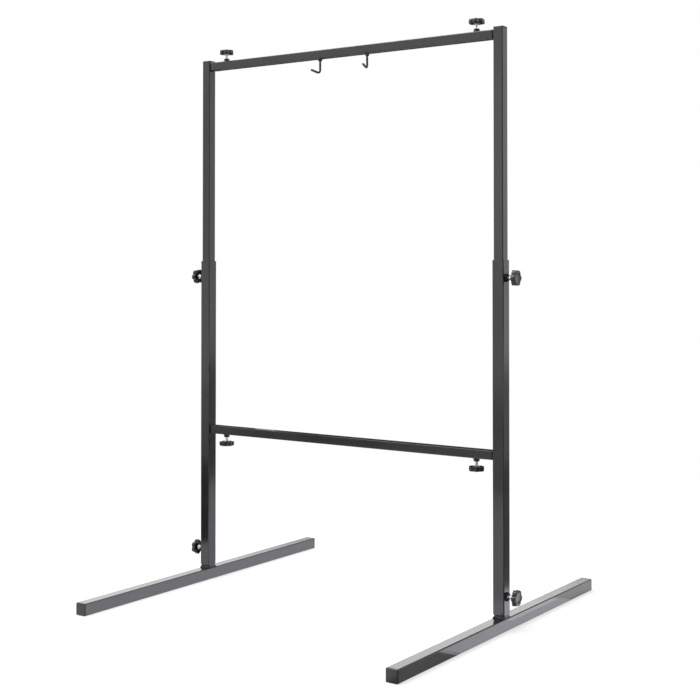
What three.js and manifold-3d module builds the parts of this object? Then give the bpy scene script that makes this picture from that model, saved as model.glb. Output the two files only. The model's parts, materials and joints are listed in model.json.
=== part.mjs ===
// Gong stand: two feet, two telescopic uprights and two crossbars of square steel tube,
// sleeved together over welded stubs and clamped with star knobs. Millimetres, +Z up.
// X runs along the crossbars, Y along the feet, and the origin is on the floor between the feet.

import * as THREE from 'three';
import { mergeVertices } from 'three/addons/utils/BufferGeometryUtils.js';
import Module from 'manifold-3d';

const wasm = await Module();
wasm.setup();

// Overall layout
const uprightSpacing = 900;
const footLength = 940;
const lowerBarHeight = 406;

// Feet
const footTubeWidth = 30;
const footTubeWall = 1.5;
const footTubeCorner = 2.6;
const footCapPlate = 5;
const footCapPlugDepth = 14;

// Foot stubs, and the welded neck round each that the upright stands on. Its cheeks are nearly flush with the foot
const footStubReach = 62;
const footNeckHeight = 7.9;
const footNeckLip = 0.8;
const footNeckCheek = 2.2;
const footNeckCorner = 2.6;

// Lower uprights
const outerTubeWidth = 30;
const outerTubeWall = 2;
const outerTubeCorner = 2.6;
const lowerUprightLength = 824;
const sideKnobInset = 42;

// Upper uprights, which telescope inside the lower ones
const innerTubeWidth = 25;
const innerTubeWall = 1.5;
const innerTubeCorner = 2.2;
const upperUprightLength = 850;
const telescopeOverlap = 306;
const topCapPlate = 3.2;
const topCapPlugDepth = 12;

// Crossbars, the stubs that they sleeve over, and the weld seat round each stub's root
const crossbarWidth = 22;
const crossbarWall = 1.5;
const crossbarCorner = 2.2;
const crossbarDrop = 2.8;
const crossStubWidth = 18;
const crossStubWall = 1.5;
const crossStubCorner = 1.6;
const crossStubLength = 80;
const crossSeatHeight = 3.4;
const crossSeatLip = 1;
const barKnobInset = 46.5;

// Clamp screws and the hexagon nuts welded round their holes
const screwDiameter = 8;
const screwChamfer = 1;
const screwCollarDiameter = 11;
const screwCollarHeight = 1.6;
const screwInKnob = 8;
const nutAcrossFlats = 13;
const nutHeight = 7.2;
const nutChamfer = 1.1;
const nutSides = 6;

// Star knobs, hollow at the back between the hub and the rim
const knobDiameter = 40;
const knobValleyDepth = 3.2;
const knobStandoff = 18.5;
const knobHubDiameter = 18;
const knobHubHeight = 1;
const knobRimWall = 3.2;
const knobCavityDepth = 6;
const knobRimHeight = 9.6;
const knobRimBevel = 0.8;
const knobCrownHeight = 1.4;
const knobCrownInset = 1.6;
const knobDishDepth = 0.8;
const knobDishInset = 8;
const knobLobes = 6;

// Gong hooks
const hookSpacing = 146;
const hookWire = 5.4;
const hookDrop = 35;
const hookReach = 25;
const hookBend = 6;
const hookRise = 7;
const hookTail = 9.5;
const hookNutAcrossFlats = 10;
const hookNutHeight = 5;
const hookNutChamfer = 0.8;

// Fits: a seat for what rests face to face, a running fit for tubes, and a clearance round threads
const seatGap = 0.3;
const plugWall = 2;
const plugClearance = 0.3;
const threadClearance = 0.3;
const cutOverrun = 2;

// How finely round shapes are faceted
const cornerFacets = 3;
const innerCornerFacets = 2;
const holeFacets = 14;
const screwFacets = 12;
const stepsPerLobe = 6;
const wireFacets = 4;
const wireSteps = 28;

// Quarter turns and the angles at which the loose pieces were left
const quarterTurn = Math.PI / 2;
const hookTurns = { left: THREE.MathUtils.degToRad(232), right: THREE.MathUtils.degToRad(278) };
const knobTurns = {
  telescope: { left: 0.39, right: 0.48 },
  foot: { left: 0, right: 0.4 },
  topBar: { left: 0.14, right: 0.83 },
  lowerBar: { left: 0.33, right: 0.54 }
};

// Lobes are rounder than the valleys between them
const lobeRoundnessShare = 0.8;

// Heights that follow from the sizes above
const uprightX = uprightSpacing / 2;
const footStubBottom = footTubeWidth + seatGap;
const lowerUprightBottom = footStubBottom + footNeckHeight + seatGap;
const lowerUprightTop = lowerUprightBottom + lowerUprightLength;
const upperUprightBottom = lowerUprightTop - telescopeOverlap;
const upperUprightTop = upperUprightBottom + upperUprightLength;
const topBarHeight = upperUprightTop - crossbarDrop - crossbarWidth / 2;
const crossbarEndGap = seatGap + crossSeatHeight + seatGap;

// Finishes
const powderCoat = { color: 0x2b2b2d, roughness: 0.42, metalness: 0.25 };
const knobPlastic = { color: 0x1b1b1c, roughness: 0.5, metalness: 0 };
const capPlastic = { color: 0x232324, roughness: 0.62, metalness: 0 };
const zincSteel = { color: 0xc9ccd0, roughness: 0.28, metalness: 0.95 };
const hookSteel = { color: 0x1f1f21, roughness: 0.4, metalness: 0.6 };

// Solids are joined and cut with manifold-3d
function toSolid(geometry) {
  const bare = geometry.clone();
  bare.deleteAttribute('normal');
  bare.deleteAttribute('uv');
  const welded = mergeVertices(bare);
  return new wasm.Manifold(new wasm.Mesh({
    numProp: 3,
    vertProperties: welded.attributes.position.array,
    triVerts: Uint32Array.from(welded.index.array)
  }));
}

function toGeometry(solid) {
  const mesh = solid.getMesh();
  const geometry = new THREE.BufferGeometry();
  geometry.setAttribute('position', new THREE.Float32BufferAttribute(mesh.vertProperties, 3));
  geometry.setIndex(Array.from(mesh.triVerts));
  geometry.computeVertexNormals();
  return geometry;
}

function cut(geometry, ...tools) {
  let solid = toSolid(geometry);
  for (const tool of tools) solid = solid.subtract(toSolid(tool));
  return toGeometry(solid);
}

function join(geometry, ...pieces) {
  let solid = toSolid(geometry);
  for (const piece of pieces) solid = solid.add(toSolid(piece));
  return toGeometry(solid);
}

function common(geometry, other) {
  return toGeometry(toSolid(geometry).intersect(toSolid(other)));
}

// The outline of a square with round corners, round the origin
function roundedSquare(width, corner, facets) {
  const reach = width / 2 - corner;
  const points = [];
  for (let quarter = 0; quarter < 4; quarter += 1) {
    const middle = new THREE.Vector2(reach, reach).rotateAround(new THREE.Vector2(), quarter * quarterTurn);
    for (let step = 0; step <= facets; step += 1) {
      const angle = (quarter + step / facets) * quarterTurn;
      points.push(new THREE.Vector2(Math.cos(angle), Math.sin(angle)).multiplyScalar(corner).add(middle));
    }
  }
  return points;
}

// A square tube along Z that starts at the origin
function squareTube(width, wall, corner, length) {
  const section = new THREE.Shape(roundedSquare(width, corner, cornerFacets));
  const innerCorner = Math.max(corner - wall, corner / 3);
  section.holes.push(new THREE.Path(roundedSquare(width - 2 * wall, innerCorner, innerCornerFacets)));
  return new THREE.ExtrudeGeometry(section, { depth: length, bevelEnabled: false });
}

function squareBlock(width, corner, length) {
  const section = new THREE.Shape(roundedSquare(width, corner, innerCornerFacets));
  return new THREE.ExtrudeGeometry(section, { depth: length, bevelEnabled: false });
}

// A revolved solid round Z, from points of radius and height
function revolve(profile, facets) {
  const points = profile.map(([radius, height]) => new THREE.Vector2(radius, height));
  return new THREE.LatheGeometry(points, facets).rotateX(quarterTurn);
}

// A round hole through the one wall that faces the given turn round a tube's axis
function wallHole(tubeWidth, wall, diameter, along, turn) {
  const depth = wall + 2 * cutOverrun;
  const drill = new THREE.CylinderGeometry(diameter / 2, diameter / 2, depth, holeFacets);
  drill.rotateZ(quarterTurn);
  drill.translate(tubeWidth / 2 - wall / 2, 0, along);
  return drill.rotateZ(turn);
}

const screwHole = screwDiameter + 2 * threadClearance;
const hookHole = hookWire + 2 * threadClearance;

// The moulded cap of a tube's end: a plate with eased edges on a hollow plug
function tubeCap(tubeWidth, tubeWall, corner, plate, plugDepth) {
  const ease = plate / 4;
  const plugWidth = tubeWidth - 2 * tubeWall - 2 * plugClearance;
  const plugCorner = corner / 2;
  const face = new THREE.Shape(roundedSquare(tubeWidth - 2 * ease, corner - ease / 2, cornerFacets));
  const cover = new THREE.ExtrudeGeometry(face, {
    depth: plate - 2 * ease,
    bevelEnabled: true,
    bevelThickness: ease,
    bevelSize: ease,
    bevelSegments: 2
  });
  cover.translate(0, 0, ease + seatGap);
  const plug = squareTube(plugWidth, plugWall, plugCorner, plugDepth + seatGap + plate / 2);
  plug.translate(0, 0, -plugDepth);
  return join(cover, plug);
}

// The weld seat round a stub's root, which the sleeve over the stub comes to rest on
function weldSeat(stubWidth, corner, lip, height) {
  const seat = squareBlock(stubWidth + 2 * lip, corner + lip, height);
  return cut(seat, stubBore(stubWidth, corner, height));
}

function stubBore(stubWidth, corner, height) {
  const bore = squareBlock(stubWidth + 2 * seatGap, corner + seatGap, height + 2 * cutOverrun);
  return bore.translate(0, 0, -cutOverrun);
}

// The neck round a foot's stub: a weld seat whose cheeks come out nearly flush with the foot's sides
function footNeck() {
  const across = innerTubeWidth + 2 * footNeckCheek;
  const along = innerTubeWidth + 2 * footNeckLip;
  const block = squareBlock(across, footNeckCorner, footNeckHeight);
  const slab = new THREE.BoxGeometry(across + 2 * cutOverrun, along, footNeckHeight + 2 * cutOverrun);
  const neck = common(block, slab.translate(0, 0, footNeckHeight / 2));
  return cut(neck, stubBore(innerTubeWidth, innerTubeCorner, footNeckHeight));
}

// A hexagon nut with its outer corners turned off
function hexNut(acrossFlats, height, chamfer, hole) {
  const cornerRadius = acrossFlats / 2 / Math.cos(Math.PI / nutSides);
  const hexagon = new THREE.CylinderGeometry(cornerRadius, cornerRadius, height, nutSides);
  hexagon.rotateX(quarterTurn).translate(0, 0, height / 2);
  const envelope = revolve([
    [0, 0],
    [cornerRadius, 0],
    [cornerRadius, height - chamfer],
    [cornerRadius - 2 * chamfer, height],
    [0, height]
  ], holeFacets);
  const drill = new THREE.CylinderGeometry(hole / 2, hole / 2, height + 2 * cutOverrun, holeFacets);
  drill.rotateX(quarterTurn).translate(0, 0, height / 2);
  return cut(common(hexagon, envelope), drill);
}

// The clamp screw, from its chamfered point to the end held in the knob
function clampScrew(length, collarAt) {
  const radius = screwDiameter / 2;
  return revolve([
    [0, 0],
    [radius - screwChamfer, 0],
    [radius, screwChamfer],
    [radius, collarAt],
    [screwCollarDiameter / 2, collarAt],
    [screwCollarDiameter / 2, collarAt + screwCollarHeight],
    [radius, collarAt + screwCollarHeight],
    [radius, length],
    [0, length]
  ], screwFacets);
}

// One ring of the star: lobes at full radius, and valleys between them
function starRing(inset, depth, height) {
  const count = knobLobes * stepsPerLobe;
  return Array.from({ length: count }, (unused, step) => {
    const angle = 2 * Math.PI * step / count;
    const wave = (1 + Math.cos(knobLobes * angle)) / 2;
    const radius = knobDiameter / 2 - inset - depth * (1 - wave ** lobeRoundnessShare);
    return new THREE.Vector3(radius * Math.cos(angle), radius * Math.sin(angle), height);
  });
}

// A closed skin through rings of points, with its two ends filled to their middles
function loft(rings) {
  const count = rings[0].length;
  const points = rings.flat();
  const indices = [];
  for (let level = 1; level < rings.length; level += 1) {
    for (let step = 0; step < count; step += 1) {
      const next = (step + 1) % count;
      const low = (level - 1) * count;
      const high = level * count;
      indices.push(low + step, low + next, high + next, low + step, high + next, high + step);
    }
  }
  const last = (rings.length - 1) * count;
  const bottom = points.push(new THREE.Vector3(0, 0, rings[0][0].z)) - 1;
  const top = points.push(new THREE.Vector3(0, 0, rings.at(-1)[0].z)) - 1;
  for (let step = 0; step < count; step += 1) {
    const next = (step + 1) % count;
    indices.push(bottom, next, step, top, last + step, last + next);
  }
  const geometry = new THREE.BufferGeometry().setFromPoints(points);
  geometry.setIndex(indices);
  return geometry;
}

// The star knob: a hub towards the nut in a hollow back, lobes round it, and a crown with a shallow dish
function starKnob() {
  const hubInset = (knobDiameter - knobHubDiameter) / 2;
  const cavityTop = knobHubHeight + knobCavityDepth;
  const rimTop = knobHubHeight + knobRimHeight;
  const crownTop = rimTop + knobCrownHeight;
  const head = loft([
    starRing(hubInset, 0, 0),
    starRing(hubInset, 0, cavityTop),
    starRing(knobRimWall, knobValleyDepth, cavityTop),
    starRing(knobRimWall, knobValleyDepth, knobHubHeight),
    starRing(0, knobValleyDepth, knobHubHeight + knobRimBevel),
    starRing(0, knobValleyDepth, rimTop),
    starRing(knobCrownInset, knobValleyDepth, crownTop),
    starRing(knobDishInset, 0, crownTop),
    starRing(knobDishInset + knobDishDepth, 0, crownTop - knobDishDepth)
  ]);
  const socketRadius = screwDiameter / 2 + threadClearance;
  const collarRadius = screwCollarDiameter / 2 + threadClearance;
  const socketDepth = screwInKnob + seatGap;
  const collarDepth = screwCollarHeight + seatGap;
  const socket = revolve([
    [0, -cutOverrun],
    [collarRadius, -cutOverrun],
    [collarRadius, collarDepth],
    [socketRadius, collarDepth],
    [socketRadius, socketDepth],
    [0, socketDepth]
  ], screwFacets);
  return cut(head, socket);
}

// The hook's centre line: a straight shank, one bend and a rising arm
class BendCurve extends THREE.Curve {
  constructor(centre, radius, startAngle, endAngle) {
    super();
    Object.assign(this, { centre, radius, startAngle, endAngle });
  }

  getPoint(share, target = new THREE.Vector3()) {
    const angle = THREE.MathUtils.lerp(this.startAngle, this.endAngle, share);
    const sideways = this.radius * Math.cos(angle);
    const upwards = this.radius * Math.sin(angle);
    return target.set(this.centre.x + sideways, 0, this.centre.z + upwards);
  }
}

function gongHook() {
  const bendCentre = new THREE.Vector3(hookBend, 0, hookBend - hookDrop);
  const armSlope = Math.atan2(hookRise, hookReach - hookBend);
  const bend = new BendCurve(bendCentre, hookBend, Math.PI, 3 * quarterTurn + armSlope);
  const shankTop = new THREE.Vector3(0, 0, hookTail);
  const armStart = bend.getPoint(1);
  const armLength = (hookReach - armStart.x) / Math.cos(armSlope);
  const armRise = armLength * Math.sin(armSlope);
  const armEnd = new THREE.Vector3(hookReach, 0, armStart.z + armRise);
  const path = new THREE.CurvePath();
  path.add(new THREE.LineCurve3(shankTop, bend.getPoint(0)));
  path.add(bend);
  path.add(new THREE.LineCurve3(armStart, armEnd));
  const section = new THREE.Shape().absarc(0, 0, hookWire / 2, 0, 4 * quarterTurn, false);
  return new THREE.ExtrudeGeometry(section, { steps: wireSteps, extrudePath: path, curveSegments: wireFacets });
}

// Scene helpers
function piece(name, geometry, finish) {
  const mesh = new THREE.Mesh(toGeometry(toSolid(geometry)), new THREE.MeshStandardMaterial(finish));
  mesh.name = name;
  return mesh;
}

function placed(object, x, y, z) {
  object.position.set(x, y, z);
  return object;
}

const sides = [
  { name: 'left', sign: -1, outward: 2 * quarterTurn },
  { name: 'right', sign: 1, outward: 0 }
];

// One clamp: the nut on the tube's face, the screw through it and the star knob on the screw.
// Its own +Z points out of the tube's face, and reach is how far in the clamped piece lies.
function clamp(name, side, reach, turn) {
  const group = new THREE.Group();
  const nut = piece(`${name}_nut_${side}`, hexNut(nutAcrossFlats, nutHeight, nutChamfer, screwHole), powderCoat);
  const screwBottom = seatGap - reach;
  const screwLength = knobStandoff + screwInKnob - screwBottom;
  const screw = piece(
    `${name}_screw_${side}`,
    clampScrew(screwLength, knobStandoff - screwBottom),
    zincSteel
  );
  const knob = piece(`${name}_knob_${side}`, starKnob(), knobPlastic);
  knob.rotation.z = turn;
  group.add(placed(nut, 0, 0, seatGap), placed(screw, 0, 0, screwBottom), placed(knob, 0, 0, knobStandoff));
  return group;
}

// Feet, with a cap in each end and the stub that takes the upright
function foot(side) {
  const group = new THREE.Group();
  const tubeLength = footLength - 2 * (footCapPlate + seatGap);
  const tube = squareTube(footTubeWidth, footTubeWall, footTubeCorner, tubeLength);
  const bar = piece(`foot_tube_${side.name}`, tube, powderCoat);
  bar.rotation.x = -quarterTurn;
  group.add(placed(bar, 0, -tubeLength / 2, footTubeWidth / 2));

  for (const [end, turn, sign] of [['front', quarterTurn, -1], ['rear', -quarterTurn, 1]]) {
    const plug = tubeCap(footTubeWidth, footTubeWall, footTubeCorner, footCapPlate, footCapPlugDepth);
    const cap = piece(`foot_cap_${end}_${side.name}`, plug, capPlastic);
    cap.rotation.x = turn;
    group.add(placed(cap, 0, sign * tubeLength / 2, footTubeWidth / 2));
  }

  const stubLength = footNeckHeight + seatGap + footStubReach;
  const stub = squareTube(innerTubeWidth, innerTubeWall, innerTubeCorner, stubLength);
  group.add(placed(piece(`foot_stub_${side.name}`, stub, powderCoat), 0, 0, footStubBottom));
  group.add(placed(piece(`foot_neck_${side.name}`, footNeck(), powderCoat), 0, 0, footStubBottom));
  return placed(group, side.sign * uprightX, 0, 0);
}

// Lower uprights, with their two clamps and the stub of the lower crossbar
function lowerUpright(side) {
  const group = new THREE.Group();
  const blank = squareTube(outerTubeWidth, outerTubeWall, outerTubeCorner, lowerUprightLength);
  const footClampAt = sideKnobInset;
  const telescopeClampAt = lowerUprightLength - sideKnobInset;
  const holes = [footClampAt, telescopeClampAt].map((along) => (
    wallHole(outerTubeWidth, outerTubeWall, screwHole, along, side.outward)
  ));
  group.add(piece(`lower_upright_${side.name}`, cut(blank, ...holes), powderCoat));

  const face = side.sign * outerTubeWidth / 2;
  const reach = (outerTubeWidth - innerTubeWidth) / 2;
  for (const [name, along, turns] of [
    ['foot_clamp', footClampAt, knobTurns.foot],
    ['telescope_clamp', telescopeClampAt, knobTurns.telescope]
  ]) {
    const outside = clamp(name, side.name, reach, turns[side.name]);
    outside.rotation.y = side.sign * quarterTurn;
    group.add(placed(outside, face, 0, along));
  }
  return placed(group, side.sign * uprightX, 0, lowerUprightBottom);
}

// Upper uprights and the cap in each top
function upperUpright(side) {
  const group = new THREE.Group();
  const tube = squareTube(innerTubeWidth, innerTubeWall, innerTubeCorner, upperUprightLength);
  group.add(piece(`upper_upright_${side.name}`, tube, powderCoat));
  const plug = tubeCap(innerTubeWidth, innerTubeWall, innerTubeCorner, topCapPlate, topCapPlugDepth);
  group.add(placed(piece(`upright_cap_${side.name}`, plug, capPlastic), 0, 0, upperUprightLength));
  return placed(group, side.sign * uprightX, 0, upperUprightBottom);
}

// A crossbar stub and its weld seat, on an upright's inner face and pointing at the other upright
function crossStub(name, side, uprightWidth, height) {
  const group = new THREE.Group();
  const tube = squareTube(crossStubWidth, crossStubWall, crossStubCorner, crossStubLength);
  group.add(piece(`${name}_stub_${side.name}`, tube, powderCoat));
  const seat = weldSeat(crossStubWidth, crossStubCorner, crossSeatLip, crossSeatHeight);
  group.add(piece(`${name}_seat_${side.name}`, seat, powderCoat));
  group.rotation.y = -side.sign * quarterTurn;
  return placed(group, side.sign * (uprightX - uprightWidth / 2 - seatGap), 0, height);
}

// A crossbar: a sleeve between two uprights, with a clamp near each end on its upper or lower face
function crossbar(name, uprightWidth, facesUp, hookPlaces) {
  const group = new THREE.Group();
  const length = uprightSpacing - uprightWidth - 2 * crossbarEndGap;
  const blank = squareTube(crossbarWidth, crossbarWall, crossbarCorner, length);
  const clampTurn = facesUp ? 2 * quarterTurn : 0;
  const clampPlaces = [barKnobInset, length - barKnobInset];
  const holes = clampPlaces.map((along) => (
    wallHole(crossbarWidth, crossbarWall, screwHole, along, clampTurn)
  ));
  for (const place of hookPlaces) {
    holes.push(wallHole(crossbarWidth, crossbarWall, hookHole, length / 2 + place, 0));
  }
  const bar = piece(name, cut(blank, ...holes), powderCoat);
  bar.rotation.y = quarterTurn;
  group.add(placed(bar, -length / 2, 0, 0));

  const reach = (crossbarWidth - crossStubWidth) / 2;
  const turns = facesUp ? knobTurns.topBar : knobTurns.lowerBar;
  for (const side of sides) {
    const outside = clamp(`${name}_clamp`, side.name, reach, turns[side.name]);
    outside.rotation.x = facesUp ? 0 : 2 * quarterTurn;
    const face = facesUp ? crossbarWidth / 2 : -crossbarWidth / 2;
    group.add(placed(outside, side.sign * (length / 2 - barKnobInset), 0, face));
  }
  return group;
}

// A hook through the top bar's lower wall, held by a nut inside and a lock nut outside
function hookSet(side) {
  const group = new THREE.Group();
  const nutShape = hexNut(hookNutAcrossFlats, hookNutHeight, hookNutChamfer, hookHole);
  const hook = piece(`hook_${side.name}`, gongHook(), hookSteel);
  const lockNut = piece(`hook_lock_nut_${side.name}`, nutShape, hookSteel);
  lockNut.rotation.x = 2 * quarterTurn;
  const innerNut = piece(`hook_inner_nut_${side.name}`, nutShape, zincSteel);
  group.add(hook, placed(lockNut, 0, 0, -seatGap), placed(innerNut, 0, 0, crossbarWall + seatGap));
  group.rotation.z = hookTurns[side.name];
  return placed(group, side.sign * hookSpacing / 2, 0, topBarHeight - crossbarWidth / 2);
}

// The whole stand
const stand = new THREE.Group();
for (const side of sides) {
  stand.add(foot(side), lowerUpright(side), upperUpright(side), hookSet(side));
  stand.add(crossStub('lower_bar', side, outerTubeWidth, lowerBarHeight));
  stand.add(crossStub('top_bar', side, innerTubeWidth, topBarHeight));
}
stand.add(placed(crossbar('lower_bar', outerTubeWidth, false, []), 0, 0, lowerBarHeight));
stand.add(placed(crossbar('top_bar', innerTubeWidth, true, [-hookSpacing / 2, hookSpacing / 2]), 0, 0, topBarHeight));

export default stand;
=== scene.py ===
# Gong stand: the looks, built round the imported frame. Metres, +Z up, as in the frame.
import json
import math
import random

import bmesh
import bpy
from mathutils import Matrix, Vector


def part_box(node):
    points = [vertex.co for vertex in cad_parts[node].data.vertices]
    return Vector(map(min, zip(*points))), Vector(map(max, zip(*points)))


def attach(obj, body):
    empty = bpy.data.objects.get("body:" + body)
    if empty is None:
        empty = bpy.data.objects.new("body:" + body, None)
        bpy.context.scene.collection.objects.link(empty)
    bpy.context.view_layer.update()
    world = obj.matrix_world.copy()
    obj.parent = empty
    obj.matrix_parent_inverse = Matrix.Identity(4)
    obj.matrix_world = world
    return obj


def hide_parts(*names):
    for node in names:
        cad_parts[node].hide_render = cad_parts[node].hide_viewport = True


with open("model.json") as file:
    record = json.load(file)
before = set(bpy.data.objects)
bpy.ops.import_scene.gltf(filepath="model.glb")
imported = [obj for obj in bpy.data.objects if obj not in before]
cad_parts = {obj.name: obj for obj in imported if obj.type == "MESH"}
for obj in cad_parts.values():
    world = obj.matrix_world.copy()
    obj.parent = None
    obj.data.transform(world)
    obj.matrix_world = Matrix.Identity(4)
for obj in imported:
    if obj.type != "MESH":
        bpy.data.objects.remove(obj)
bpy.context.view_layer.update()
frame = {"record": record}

MM = 0.001
Z_AXIS = Vector((0, 0, 1))
QUARTER = math.pi / 2
WHOLE_TURN = 2 * math.pi
UNTILTED = (0, 0, 0)
SIDES = {"left": -1, "right": 1}
BARS = ("lower_bar", "top_bar")
UPRIGHT_CLAMPS = ("foot_clamp", "telescope_clamp")
BAR_CLAMPS = ("lower_bar_clamp", "top_bar_clamp")

# How nearly a face or an edge points along an axis to be picked, and how close corners lie to be merged
POINTING = 0.999
DOUBLES = 0.002 * MM

# The gap between a piece and what it is seated on
SEATING_GAP = 0.3 * MM

# The camera, as fitted to the photograph
CAMERA_PLACE = (1.893787, -2.692396, 0.843264)
CAMERA_PITCH = math.radians(90.991)
CAMERA_HEADING = math.radians(34.828)
CAMERA_LENS = 66.73
CAMERA_SENSOR = 36
CAMERA_SHIFT = -0.149

# The studio: the floor and how its shadow fades, the light from all round, and the paper that tubes mirror
FLOOR_RADIUS = 30
FLOOR_SINK = 0.2 * MM
FLOOR_WHITE = (0.94, 0.94, 0.94, 1)
SHADOW_NEAR = 0.8
SHADOW_FAR = 2.6
SHADOW_LIFT = 0.55
SURROUND_LIGHT = 0.66
PAPER = FLOOR_SINK / 2
WHITE = (1, 1, 1)
PAPER_TINT = (1.0, 0.98, 1.07)
VIOLET_TINT = (0.6, 0.5, 1.0)

# Tubes
TUBE_CORNER = {"foot": 2.6 * MM, "outer": 2.6 * MM, "inner": 2.2 * MM, "bar": 2.2 * MM, "stub": 1.6 * MM}
TUBE_WALL = {"foot": 1.5 * MM, "outer": 2 * MM, "inner": 1.5 * MM, "bar": 1.5 * MM, "stub": 1.5 * MM}
TUBE_CORNER_STEPS = 6
TUBE_RIM_EASE = 0.3 * MM
TUBE_END_REACH = 0.01 * MM
DRILL_REACH = 5 * MM

# Clamp screws, M8 with a 1.25 mm pitch
SCREW_RADIUS = 4 * MM
SCREW_PITCH = 1.25 * MM
THREAD_DEPTH = 0.62 * MM
THREAD_STEPS = 28
SCREW_TIP = 1 * MM
SCREW_TIP_SHARE = 0.72
SCREW_HOLE_RADIUS = 4.3 * MM

# Hexagon nuts, on the clamps and on the hooks
NUT_ACROSS_FLATS = 13 * MM
NUT_HEIGHT = 7.2 * MM
NUT_EDGE_EASE = 0.35 * MM
NUT_BLANK_SHARE = 1.02
NUT_CHAMFER_SHARE = 0.754
NUT_FACE_SHARE = 0.97
NUT_SINK = 0.7 * MM
NUT_PLAY = 0.15 * MM
HOOK_NUT_ACROSS_FLATS = 10 * MM
HOOK_NUT_PLAY = 0.1 * MM

# Star knobs. Heights are over the foot of the hub, which stands off the tube
KNOB_STANDOFF = 18.5 * MM
KNOB_LOBES = 6
STEPS_PER_LOBE = 18
KNOB_RADIUS = 20 * MM
KNOB_VALLEY = 3.8 * MM
KNOB_HUB_RADIUS = 9 * MM
KNOB_UNDERSIDE = 1 * MM
KNOB_FLOOR = 7 * MM
KNOB_CROWN = 12 * MM
KNOB_DRAFT = 0.6 * MM
KNOB_SKIRT_ROUND = 0.9 * MM
KNOB_CROWN_ROUND = 2.2 * MM
KNOB_CROWN_DROP = 2.3 * MM
KNOB_DISH_RADIUS = 12.6 * MM
KNOB_LOBES_FROM = KNOB_HUB_RADIUS + 1.1 * MM
LOBE_ROUNDNESS = 0.6

# The knob's small edges, each as steps out and up in millimetres from the corner that it rounds
KNOB_HUB_EDGE = ((-0.5, 0), (-0.1, 0.1), (0, 0.5))
KNOB_HOLLOW_INNER_EDGE = ((0.3, -0.6), (0.5, -0.15), (0.9, 0))
KNOB_HOLLOW_OUTER_EDGE = ((-4.1, 0), (-3.7, -0.15), (-3.5, -0.6))
KNOB_SKIRT_EDGE = ((-3.2, 0.5), (-3.1, 0.1), (-2.7, 0))
KNOB_SHOULDER_EDGE = ((-4.0, -0.04),)
KNOB_DISH_EDGE = ((0, 0), (-0.5, -0.1), (-0.8, -0.5), (-1.3, -0.75))
KNOB_DISH_FLOOR = ((4, -0.62), (0, -0.55))

# The metal insert in each knob's hub
INSERT_RADIUS = 5.4 * MM
INSERT_BORE_RADIUS = 3.6 * MM
INSERT_DEPTH = 0.48 * MM
INSERT_PROUD = 0.15 * MM
INSERT_EASE = 0.3 * MM
RECESS_RADIUS = 5.8 * MM
RECESS_DEPTH = 0.5 * MM

# Moulded plugs: the pillowed plate outside, then the finned shell inside the tube
PLUG_CROWN = 0.25 * MM
PLUG_PLATE_SHARE = 0.34
PLUG_PILLOW_START = 0.86
PLUG_PILLOW_SHARES = ((0.6, 0.7), (0.3, 0.45), (0.1, 0.2))
PLUG_EASE = 0.2 * MM
PLUG_CORE_PLAY = 0.8 * MM
PLUG_FIN_PLAY = 0.25 * MM
PLUG_FINS = 3
PLUG_FIN_FLAT = 0.6 * MM
PLUG_FIN_SLOPE = 0.3 * MM
PLUG_TAIL = 2 * MM
PLUG_TAIL_SHARE = 0.94
PLUG_SHELL = 1.5 * MM
PLUG_ROOF = 0.5 * MM

# The angle at which each knob was left
KNOB_TURN = {
    "telescope_clamp": {"left": 0.39, "right": 0.48},
    "foot_clamp": {"left": 0, "right": 0.4},
    "top_bar_clamp": {"left": 0.14, "right": 0.83},
    "lower_bar_clamp": {"left": 0.33, "right": 0.02},
}

# Welds: the grain to which beads are fused, and how far their skin is evened out
WELD_GRAIN = 0.28 * MM
WELD_SMOOTHING = 12
NUT_BEAD_RING = 7.4 * MM
NUT_BEAD_LEVEL = 0.7 * MM
NUT_BEAD_PITCH = 1.5 * MM
NUT_BEAD_RADIUS = 1.35 * MM
NUT_BEAD_TURN = 0.4
TACK_RADIUS = 1.9 * MM
NECK_BEAD_OUT = 0.2 * MM
NECK_BEAD_CORNER = 3.2 * MM
NECK_BEAD_LEVEL = 1.3 * MM
NECK_BEAD_PITCH = 2.0 * MM
NECK_BEAD_RADIUS = 1.9 * MM
FILLET_RADIUS = 2.3 * MM
SEAT_IN = 1.5 * MM
SEAT_CORNER = 2.4 * MM
SEAT_PITCH = 1.9 * MM

# The two heaps of weld on a nut: how far out, how high, and the places along each row
TACK_ROWS = (
    (8.0 * MM, 1.2 * MM, [y * MM for y in (-4.2, -2.4, -0.8, 0.9, 2.6, 4.1)]),
    (7.6 * MM, 3.4 * MM, [y * MM for y in (-2.6, -0.9, 0.8, 2.5)]),
)

# The fillets at a neck's foot: how far out, how high, half the row's length, and how many lumps
FILLET_ROWS = (
    (2.1 * MM, 1.0 * MM, 12.0 * MM, 10),
    (0.1 * MM, 2.9 * MM, 11.4 * MM, 9),
    (-1.6 * MM, 5.0 * MM, 10.4 * MM, 9),
)

# Necks: the bare collar and the built-up cheeks that face along X
NECK_INSET = 0.8 * MM
NECK_BORE = 12.8 * MM
NECK_CORNER = 2.4 * MM
CHEEK_ROWS = 4
CHEEK_IN = 1.35 * MM
CHEEK_REACH = 9.6 * MM
CHEEK_PITCH = 1.6 * MM
CHEEK_RADIUS = 1.4 * MM

# Gong hooks. Heights are over the top bar's underside
HOOK_WIRE_RADIUS = 2.9 * MM
HOOK_BEND = 6 * MM
HOOK_DROP = 35 * MM
HOOK_REACH = 25 * MM
HOOK_RISE = 7 * MM
HOOK_THREAD_END = -13 * MM
HOOK_THREAD_DEPTH = 0.42 * MM
HOOK_THREAD_PITCH = 0.9 * MM
HOOK_HOLE_RADIUS = 3.2 * MM
HOOK_OUT = 73 * MM
HOOK_INNER_NUT_RISE = TUBE_WALL["bar"] + SEATING_GAP
HOOK_THREAD_SHORT = 0.6 * MM

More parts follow.
